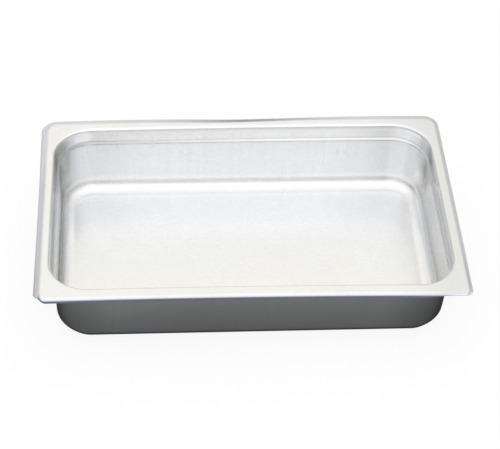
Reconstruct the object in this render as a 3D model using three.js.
// Full-size steam-table food pan, 4 in deep, drawn from one stainless sheet.
// Millimetres. Origin at the centre of the base underside, +X along the length,
// +Y across the width, +Z up out of the opening.
import * as THREE from "three";

const { clamp, degToRad, lerp } = THREE.MathUtils;

// --- driving dimensions ---------------------------------------------------
// An inset is a horizontal distance inwards from the lip's outermost line.
const LENGTH = 527; // over the turned-down lip, 20 3/4 in
const WIDTH = 324; // over the turned-down lip, 12 3/4 in
const HEIGHT = 100; // underside of the base to the top of the flange
const SHEET = 0.8; // 22 gauge

const LIP_DROP = 6; // how far the lip's edge hangs below the flange
const LIP_SLOPE = degToRad(84); // slope of the lip below horizontal
const LIP_BEND = 4.5; // outside radius of the roll from flange to lip
const LIP_CORNER = 18; // plan radius of the lip's corners
const LIP_INSET = LIP_DROP / Math.tan(LIP_SLOPE); // to where flange meets lip

const RIM_INSET = 16.2; // to the corner where flange meets upper wall
const RIM_BEND = 4; // outside radius of that bend
const SIDE_EXTRA = 2; // the flange is this much wider along the long sides

const SHOULDER_DEPTH = 21.5; // flange top to the middle of the stacking shoulder
const SHOULDER_INSET = 19; // to the middle of the shoulder
const SHOULDER_RUN = 2.6; // how far the wall steps in at the shoulder
const SHOULDER_FALL = 3.6; // height over which it steps in
const SHOULDER_BEND = 4; // radius of both bends of the shoulder
const SHOULDER_LEVEL = HEIGHT - SHOULDER_DEPTH;

const FOOT_INSET = 23.6; // to the corner where wall meets floor
const FLOOR_RADIUS = 17.5; // inside radius between wall and floor
const FLOOR_MARGIN = 4; // the section starts this far beyond FLOOR_RADIUS from the foot
const WALL_CORNER = 67; // inset of the centre of the wall's corner arcs at the top
const CORNER_TAPER = 2; // how much tighter the plan corners are at the base

// --- mesh resolution ------------------------------------------------------
const FLOOR_RINGS = [0.5]; // extra rings across the floor, share of the way in
const ARC_STEP = degToRad(15); // largest facet in the section's bends
const MIN_BEND_STEPS = 2;
const CORNER_STEPS = 10; // facets per plan corner

// --- the section ----------------------------------------------------------
// The upper skin before its bends are rounded, from the floor to the lip's edge.
// Columns: inset, z, bend radius.
const SECTION_CORNERS = [
  [FOOT_INSET + FLOOR_RADIUS + FLOOR_MARGIN, SHEET, 0],
  [FOOT_INSET, SHEET, FLOOR_RADIUS],
  [SHOULDER_INSET + SHOULDER_RUN / 2, SHOULDER_LEVEL - SHOULDER_FALL / 2, SHOULDER_BEND],
  [SHOULDER_INSET - SHOULDER_RUN / 2, SHOULDER_LEVEL + SHOULDER_FALL / 2, SHOULDER_BEND],
  [RIM_INSET, HEIGHT, RIM_BEND],
  [LIP_INSET, HEIGHT, LIP_BEND],
  [0, HEIGHT - LIP_DROP, 0],
];

// The upper skin lies to the right of the direction of travel.
function skinNormal(direction) {
  return new THREE.Vector2(direction.y, -direction.x);
}

// Points along one bend; into and away are the unit directions on either side.
function bendPoints(corner, radius, into, away) {
  const turn = Math.atan2(into.cross(away), into.dot(away));
  const setback = radius * Math.tan(Math.abs(turn) / 2);
  const start = corner.clone().addScaledVector(into, -setback);
  // a left turn has its centre on the left, away from the upper skin
  const outwards = turn > 0 ? 1 : -1;
  const centre = start.clone().addScaledVector(skinNormal(into), -outwards * radius);
  const startAngle = start.clone().sub(centre).angle();
  const bend = new THREE.EllipseCurve(
    centre.x, centre.y, radius, radius, startAngle, startAngle + turn, turn < 0,
  );
  const steps = Math.max(MIN_BEND_STEPS, Math.ceil(Math.abs(turn) / ARC_STEP));
  return bend.getPoints(steps).map((point) => ({
    point,
    normal: point.clone().sub(centre).multiplyScalar(outwards / radius),
  }));
}

// The section as { point, normal } pairs, with unit normals of the upper skin.
function roundedSection() {
  const corners = SECTION_CORNERS.map(([inset, z]) => new THREE.Vector2(inset, z));
  const directions = corners.slice(1).map((end, i) => end.clone().sub(corners[i]).normalize());
  return corners.flatMap((corner, i) => {
    const into = directions[i - 1];
    const away = directions[i];
    if (into && away) return bendPoints(corner, SECTION_CORNERS[i][2], into, away);
    return [{ point: corner, normal: skinNormal(into ?? away) }];
  });
}

// 0 on the lip, 1 from the rim bend inwards, rising across the flat flange.
function acrossFlange(inset) {
  const flatStart = LIP_INSET + LIP_BEND * Math.tan(LIP_SLOPE / 2);
  const flatEnd = RIM_INSET - RIM_BEND;
  return clamp((inset - flatStart) / (flatEnd - flatStart), 0, 1);
}

// --- rings ----------------------------------------------------------------
// A level ring around the pan, a rounded rectangle through the point [inset, z].
// share is how far across the flange it is: the plan corners are tight at the
// lip and wide at the walls, and the long sides gain SIDE_EXTRA on the way.
// level is the upper skin's height here; the wall's corners tighten below the top.
function ring(inset, z, share, level) {
  const wallCorner = WALL_CORNER - CORNER_TAPER * (1 - level / HEIGHT);
  const centreInset = lerp(LIP_CORNER, wallCorner, share);
  const radius = centreInset - inset;
  const centreX = LENGTH / 2 - centreInset;
  const centreY = WIDTH / 2 - centreInset - SIDE_EXTRA * share;

  // anticlockwise from the +X +Y corner
  const cornerSigns = [[1, 1], [-1, 1], [-1, -1], [1, -1]];
  const outline = new THREE.Shape();
  cornerSigns.forEach(([signX, signY], quarter) => {
    const start = (quarter * Math.PI) / 2;
    const end = ((quarter + 1) * Math.PI) / 2;
    outline.absarc(signX * centreX, signY * centreY, radius, start, end);
  });
  // a path gives its arcs twice the divisions asked for
  return outline
    .getPoints(CORNER_STEPS / 2)
    .map((point) => new THREE.Vector3(point.x, point.y, z));
}

// All rings of one skin, from the middle of the floor out to the lip's edge.
// depth is how far the skin lies behind the upper one.
function skinRings(section, depth) {
  const sectionRings = section.map(({ point, normal }) =>
    ring(
      point.x - normal.x * depth,
      point.y - normal.y * depth,
      acrossFlange(point.x),
      point.y,
    ),
  );
  const floorRings = FLOOR_RINGS.map((share) =>
    sectionRings[0].map(
      ({ x, y }) => new THREE.Vector3(x * (1 - share), y * (1 - share), SHEET - depth),
    ),
  );
  return [...floorRings.reverse(), ...sectionRings];
}

// --- the pan --------------------------------------------------------------
function panGeometry() {
  // one chain of rings: floor out to the lip, round its edge, and back underneath
  const section = roundedSection();
  const chain = [...skinRings(section, 0), ...skinRings(section, SHEET).reverse()];
  const ringSize = chain[0].length;
  const positions = chain.flat().flatMap(({ x, y, z }) => [x, y, z]);
  const index = [];

  for (let s = 0; s + 1 < chain.length; s++) {
    const ringStart = s * ringSize;
    const nextStart = ringStart + ringSize;
    for (let i = 0; i < ringSize; i++) {
      const j = (i + 1) % ringSize;
      index.push(ringStart + i, nextStart + i, nextStart + j);
      index.push(ringStart + i, nextStart + j, ringStart + j);
    }
  }

  // fans close the middle of the floor and of the underside
  const topCentre = positions.length / 3;
  const bottomCentre = topCentre + 1;
  positions.push(0, 0, SHEET);
  positions.push(0, 0, 0);
  const lastStart = (chain.length - 1) * ringSize;
  for (let i = 0; i < ringSize; i++) {
    const j = (i + 1) % ringSize;
    index.push(topCentre, i, j);
    index.push(bottomCentre, lastStart + j, lastStart + i);
  }

  const geometry = new THREE.BufferGeometry();
  geometry.setAttribute("position", new THREE.Float32BufferAttribute(positions, 3));
  geometry.setIndex(index);
  geometry.computeVertexNormals();
  return geometry;
}

const satinSteel = new THREE.MeshStandardMaterial({
  color: 0xc9ccce,
  metalness: 1,
  roughness: 0.42,
});

const pan = new THREE.Mesh(panGeometry(), satinSteel);
pan.name = "pan_body";

const group = new THREE.Group();
group.name = "deli_food_pan";
group.add(pan);

export default group;
